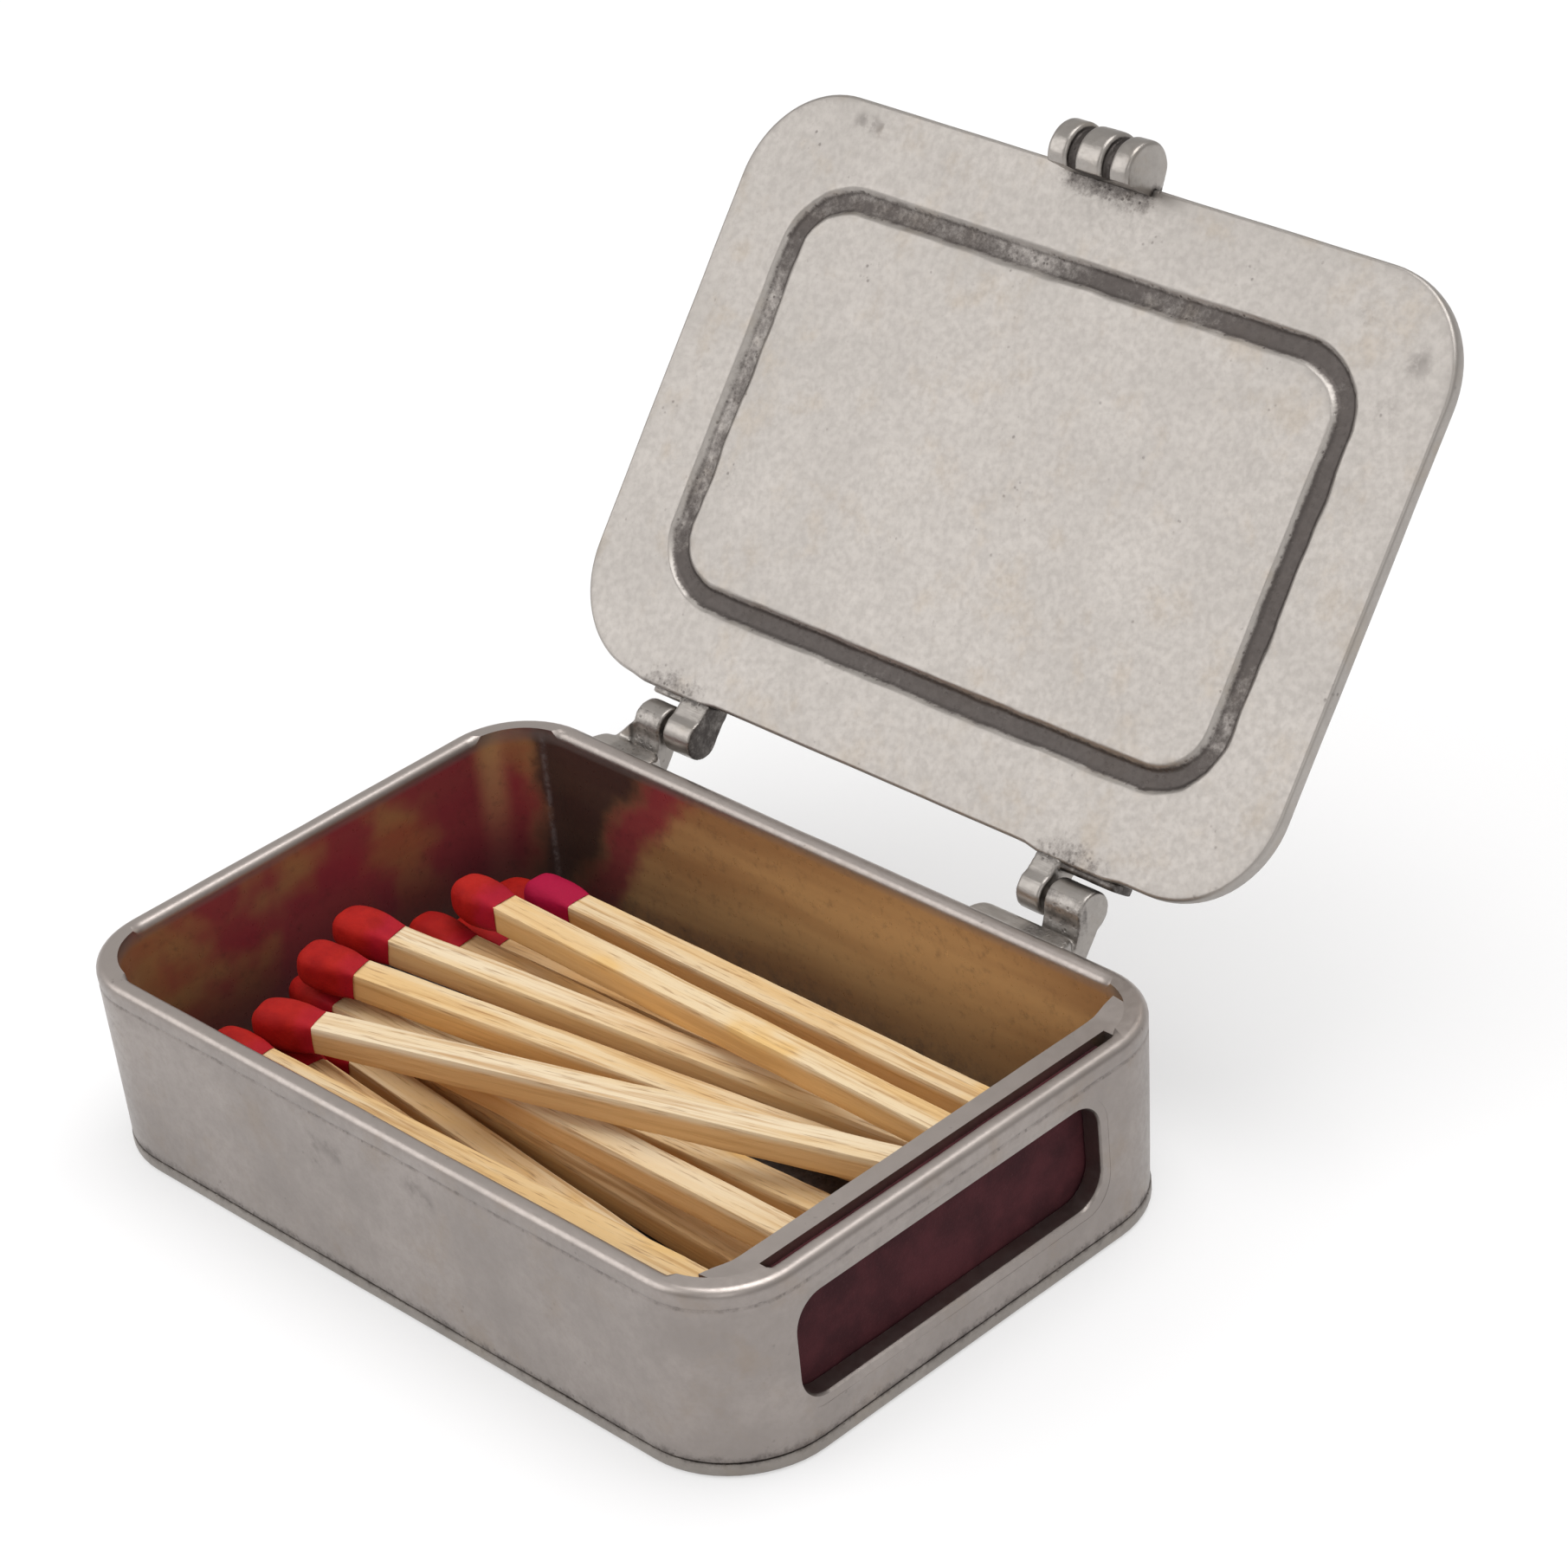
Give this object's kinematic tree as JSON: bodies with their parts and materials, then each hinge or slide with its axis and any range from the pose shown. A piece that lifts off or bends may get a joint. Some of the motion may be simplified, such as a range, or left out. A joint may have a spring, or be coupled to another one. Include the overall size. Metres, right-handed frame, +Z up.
{
  "type": "match box",
  "caption": "Small cast pewter match box with a hinged flat lid, a striker strip behind a window in one end, and wooden matches inside.",
  "frame": {"origin": "middle of the underside of the base plate", "axes": "+X along the hinge line towards the end with the striker window, -Y towards the thumbpiece side, +Y towards the hinges, +Z up"},
  "size_m": [0.0705, 0.0821, 0.061],
  "materials": {
    "wall_pewter": "satin cast pewter, small pits and scratches, bright rounded rim",
    "base_pewter": "satin cast pewter, bright worn edge",
    "partition_pewter": "satin pewter, dark stains",
    "hinge_pewter": "filed pewter with dark patina in the corners",
    "pin_pewter": "worn pewter, peened ends",
    "lid_pewter": "light satin pewter with faint pits, oxidised dark groove",
    "thumb_pewter": "polished pewter, dark patina in the waists",
    "striker_card": "dark maroon friction coating on card",
    "splint_wood": "plain sawn softwood, fibrous",
    "match_compound": "matt red dipped match head"
  },
  "bodies": {
    "box": {"box_wall": "wall_pewter", "base_plate": "base_pewter", "striker_partition": "partition_pewter", "striker_card": "striker_card", "body_hinge_left": "hinge_pewter", "body_hinge_right": "hinge_pewter", "hinge_pin_left": "pin_pewter", "hinge_pin_right": "pin_pewter", "match_01_stick": "splint_wood", "match_01_head": "match_compound", "match_02_stick": "splint_wood", "match_02_head": "match_compound", "match_03_stick": "splint_wood", "match_03_head": "match_compound", "match_04_stick": "splint_wood", "match_04_head": "match_compound", "match_05_stick": "splint_wood", "match_05_head": "match_compound", "match_06_stick": "splint_wood", "match_06_head": "match_compound", "match_07_stick": "splint_wood", "match_07_head": "match_compound", "match_08_stick": "splint_wood", "match_08_head": "match_compound", "match_09_stick": "splint_wood", "match_09_head": "match_compound", "match_10_stick": "splint_wood", "match_10_head": "match_compound", "match_11_stick": "splint_wood", "match_11_head": "match_compound", "match_12_stick": "splint_wood", "match_12_head": "match_compound", "match_13_stick": "splint_wood", "match_13_head": "match_compound", "match_14_stick": "splint_wood", "match_14_head": "match_compound", "match_15_stick": "splint_wood", "match_15_head": "match_compound"},
    "lid": {"lid": "lid_pewter", "lid_hinge_left": "hinge_pewter", "lid_hinge_right": "hinge_pewter", "thumbpiece": "thumb_pewter"}
  },
  "joints": [
    {"name": "lid_hinge", "type": "hinge", "parent": "box", "child": "lid", "pos_m": [0, 0.0265, 0.0167], "axis": [1, 0, 0], "range_deg": [0, 128]}
  ]
}
